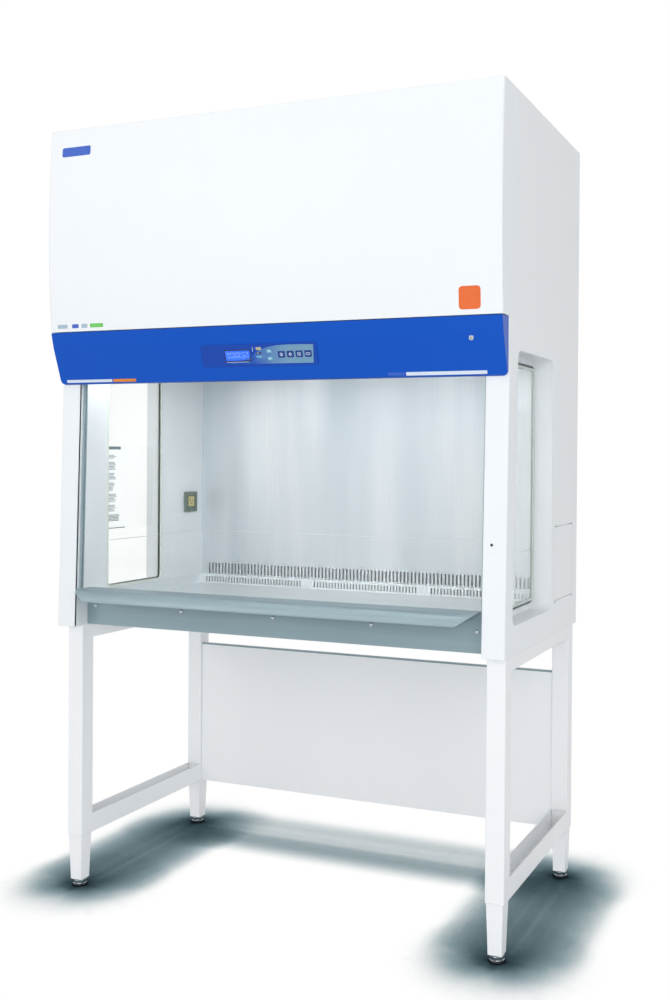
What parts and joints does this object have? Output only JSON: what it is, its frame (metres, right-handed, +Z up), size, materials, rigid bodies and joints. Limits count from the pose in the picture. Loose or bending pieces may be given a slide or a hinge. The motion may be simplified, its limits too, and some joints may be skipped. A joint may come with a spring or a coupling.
{
  "type": "biosafety cabinet",
  "caption": "Free-standing class II biosafety cabinet with a counterbalanced front sash, hinged hood, slotted steel work surface, side windows and a height-adjustable stand.",
  "frame": {"origin": "middle of the overall plan outline on the floor", "axes": "+X to the user's right along the width, +Y from the user to the rear, +Z up"},
  "size_m": [1.34, 0.753, 2.16],
  "materials": {
    "white_enamel": "satin",
    "blue_enamel": "satin",
    "blue_panel": "satin",
    "stainless": "brushed",
    "bright_steel": "polished",
    "aluminium": "satin",
    "black_nylon": "matte",
    "clear_glass": "clear",
    "grey_rubber": "matte",
    "filter_media": "matte",
    "cast_weight": "rough",
    "display_blue": "gloss",
    "key_blue": "matte",
    "lamp_glass": "gloss",
    "outlet_grey": "matte",
    "foot_rubber": "matte"
  },
  "bodies": {
    "cabinet": {"side_shell_left": "white_enamel", "side_shell_right": "white_enamel", "side_liner_left": "stainless", "side_liner_right": "stainless", "side_windows": "clear_glass", "window_gaskets": "grey_rubber", "service_covers": "white_enamel", "rear_skin": "white_enamel", "roof_panel": "white_enamel", "exhaust_guard": "stainless", "sump_pan": "stainless", "tray_left": "stainless", "tray_middle": "stainless", "tray_right": "stainless", "tray_rails": "stainless", "front_grille": "stainless", "armrest": "stainless", "front_apron": "stainless", "apron_screws": "bright_steel", "back_wall": "stainless", "return_grille": "stainless", "sash_guides": "black_nylon", "sheave_brackets": "stainless", "sash_cables": "bright_steel", "diffuser": "stainless", "supply_filter": "filter_media", "exhaust_filter": "filter_media", "supply_plenum": "white_enamel", "blower_housing": "stainless", "blower_motor": "cast_weight", "work_lamps": "lamp_glass", "power_outlet": "outlet_grey", "power_inlet": "black_nylon", "hinge_fixed": "stainless", "stand_frame_left": "white_enamel", "stand_frame_right": "white_enamel", "stand_rear_rail": "white_enamel", "stand_back_panel": "white_enamel"},
    "impeller": {"impeller": "aluminium"},
    "sash": {"sash_glass": "clear_glass", "sash_rails": "aluminium"},
    "counterweights": {"counterweights": "cast_weight"},
    "sheave_left": {"cable_sheave_left": "black_nylon"},
    "sheave_right": {"cable_sheave_right": "black_nylon"},
    "hood": {"front_cover": "white_enamel", "control_band": "blue_enamel", "hinge_moving": "stainless", "control_panel": "blue_panel", "display": "display_blue"},
    "key_1": {"key_1": "key_blue"},
    "key_2": {"key_2": "key_blue"},
    "key_3": {"key_3": "key_blue"},
    "key_4": {"key_4": "key_blue"},
    "key_up": {"key_up": "key_blue"},
    "key_down": {"key_down": "key_blue"},
    "inner_legs": {"inner_legs": "white_enamel"},
    "foot_front_left": {"levelling_foot_front_left": "foot_rubber"},
    "foot_front_right": {"levelling_foot_front_right": "foot_rubber"},
    "foot_rear_left": {"levelling_foot_rear_left": "foot_rubber"},
    "foot_rear_right": {"levelling_foot_rear_right": "foot_rubber"}
  },
  "joints": [
    {"name": "sash_slide", "type": "slide", "parent": "cabinet", "child": "sash", "axis": [0, -0.029, -0.9996], "range_m": [0, 0.582], "deforming": ["sash_cables"]},
    {"name": "counterweight_slide", "type": "slide", "parent": "cabinet", "child": "counterweights", "axis": [0, 0.029, 0.9996], "range_m": [0, 0.582]},
    {"name": "sheave_left_turn", "type": "hinge", "parent": "cabinet", "child": "sheave_left", "pos_m": [-0.614, -0.26877, 2.13], "axis": [0, 1, 0], "range_deg": [-1401.6, 1401.6]},
    {"name": "sheave_right_turn", "type": "hinge", "parent": "cabinet", "child": "sheave_right", "pos_m": [0.614, -0.26877, 2.13], "axis": [0, 1, 0], "range_deg": [-1401.6, 1401.6]},
    {"name": "hood_hinge", "type": "hinge", "parent": "cabinet", "child": "hood", "pos_m": [0, -0.2844, 2.157], "axis": [-1, 0, 0], "range_deg": [0, 35]},
    {"name": "impeller_spin", "type": "hinge", "parent": "cabinet", "child": "impeller", "pos_m": [0.02, 0.0205, 1.8438], "axis": [1, 0, 0], "continuous": true},
    {"name": "key_1_press", "type": "slide", "parent": "hood", "child": "key_1", "axis": [0, 0.9428, 0.3333], "range_m": [0, 0.0006], "stiffness_N_per_m": 800, "springref_m": -0.0006},
    {"name": "key_2_press", "type": "slide", "parent": "hood", "child": "key_2", "axis": [0, 0.9428, 0.3333], "range_m": [0, 0.0006], "stiffness_N_per_m": 800, "springref_m": -0.0006},
    {"name": "key_3_press", "type": "slide", "parent": "hood", "child": "key_3", "axis": [0, 0.9428, 0.3333], "range_m": [0, 0.0006], "stiffness_N_per_m": 800, "springref_m": -0.0006},
    {"name": "key_4_press", "type": "slide", "parent": "hood", "child": "key_4", "axis": [0, 0.9428, 0.3333], "range_m": [0, 0.0006], "stiffness_N_per_m": 800, "springref_m": -0.0006},
    {"name": "key_up_press", "type": "slide", "parent": "hood", "child": "key_up", "axis": [0, 0.9428, 0.3333], "range_m": [0, 0.0006], "stiffness_N_per_m": 800, "springref_m": -0.0006},
    {"name": "key_down_press", "type": "slide", "parent": "hood", "child": "key_down", "axis": [0, 0.9428, 0.3333], "range_m": [0, 0.0006], "stiffness_N_per_m": 800, "springref_m": -0.0006},
    {"name": "leg_extension", "type": "slide", "parent": "cabinet", "child": "inner_legs", "axis": [0, 0, -1], "range_m": [0, 0.15]},
    {"name": "foot_front_left_screw", "type": "slide", "parent": "inner_legs", "child": "foot_front_left", "axis": [0, 0, -1], "range_m": [0, 0.02]},
    {"name": "foot_front_right_screw", "type": "slide", "parent": "inner_legs", "child": "foot_front_right", "axis": [0, 0, -1], "range_m": [0, 0.02]},
    {"name": "foot_rear_left_screw", "type": "slide", "parent": "inner_legs", "child": "foot_rear_left", "axis": [0, 0, -1], "range_m": [0, 0.02]},
    {"name": "foot_rear_right_screw", "type": "slide", "parent": "inner_legs", "child": "foot_rear_right", "axis": [0, 0, -1], "range_m": [0, 0.02]}
  ],
  "couplings": [
    {"joint": "counterweight_slide", "follows": "sash_slide", "ratio": 1},
    {"joint": "sheave_left_turn", "follows": "sash_slide", "rad_per_m": -42.017},
    {"joint": "sheave_right_turn", "follows": "sash_slide", "rad_per_m": 42.017}
  ]
}
